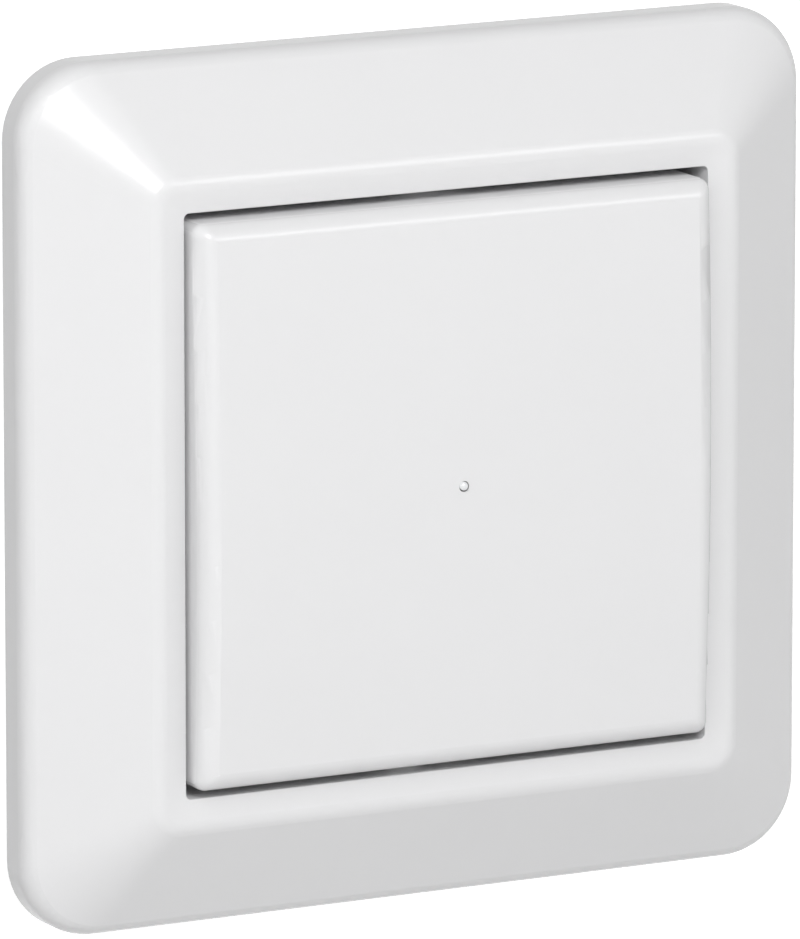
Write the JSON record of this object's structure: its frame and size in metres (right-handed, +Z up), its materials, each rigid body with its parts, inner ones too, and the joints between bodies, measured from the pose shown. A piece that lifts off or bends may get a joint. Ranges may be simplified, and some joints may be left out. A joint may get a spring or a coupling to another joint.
{
  "type": "smart light switch",
  "caption": "Smart light switch for a round wall box: a square cover frame with sloped sides round a wide tilting rocker with a tiny indicator lens, on a plated module.",
  "frame": {"origin": "middle of the mounting plate's back face, in the plane of the wall", "axes": "+Z up the wall, -Y out of the wall towards the user, +X to the user's right"},
  "size_m": [0.084, 0.0417, 0.084],
  "materials": {
    "frame_white": "glossy moulded white plastic",
    "rocker_white": "glossy moulded white plastic",
    "lens_clear": "clear moulded plastic",
    "casing_white": "fine-grained light plastic",
    "casing_grey": "fine-grained grey plastic",
    "plate_steel": "bright zinc-plated pressed steel",
    "screw_steel": "bright zinc-plated steel",
    "spring_steel": "drawn spring steel",
    "plunger_white": "natural acetal",
    "switch_black": "black moulded plastic",
    "board_green": "green lacquered laminate",
    "led_white": "moulded lamp body",
    "shield_tin": "bright folded sheet",
    "relay_blue": "blue moulded case",
    "film_grey": "grey potted case",
    "can_sleeve": "shrunk dark sleeve",
    "ferrite": "dark ferrite",
    "disc_blue": "dipped blue lacquer",
    "fuse_body": "ceramic-coloured body",
    "terminal_grey": "grey moulded plastic",
    "terminal_brass": "bright brass"
  },
  "bodies": {
    "module": {"cover_frame": "frame_white", "mounting_plate": "plate_steel", "front_casing": "casing_white", "light_guide": "lens_clear", "rear_casing": "casing_grey", "casing_screws": "screw_steel", "upper_spring": "spring_steel", "lower_spring": "spring_steel", "upper_switch_body": "switch_black", "lower_switch_body": "switch_black", "control_board": "board_green", "indicator_led": "led_white", "radio_board": "board_green", "radio_shield": "shield_tin", "board_header": "switch_black", "main_board": "board_green", "relay": "relay_blue", "film_capacitor": "film_grey", "can_capacitor": "can_sleeve", "choke": "ferrite", "varistor": "disc_blue", "fuse": "fuse_body", "terminal_block": "terminal_grey", "terminal_cages": "terminal_brass", "terminal_screws": "screw_steel"},
    "rocker": {"rocker": "rocker_white", "indicator_lens": "lens_clear", "rocker_carrier": "plunger_white"},
    "upper_plunger": {"upper_plunger": "plunger_white"},
    "lower_plunger": {"lower_plunger": "plunger_white"}
  },
  "joints": [
    {"name": "rocker_tilt", "type": "hinge", "parent": "module", "child": "rocker", "pos_m": [0, -0.0056, 0], "axis": [1, 0, 0], "range_deg": [-3, 3], "stiffness_Nm_per_rad": 0.9},
    {"name": "upper_plunger_travel", "type": "slide", "parent": "module", "child": "upper_plunger", "axis": [0, 1, 0], "range_m": [-0.0008, 0.0008], "deforming": ["upper_spring"]},
    {"name": "lower_plunger_travel", "type": "slide", "parent": "module", "child": "lower_plunger", "axis": [0, 1, 0], "range_m": [-0.0008, 0.0008], "deforming": ["lower_spring"]}
  ],
  "couplings": [
    {"joint": "upper_plunger_travel", "follows": "rocker_tilt", "m_per_rad": -0.015},
    {"joint": "lower_plunger_travel", "follows": "rocker_tilt", "m_per_rad": 0.015}
  ]
}
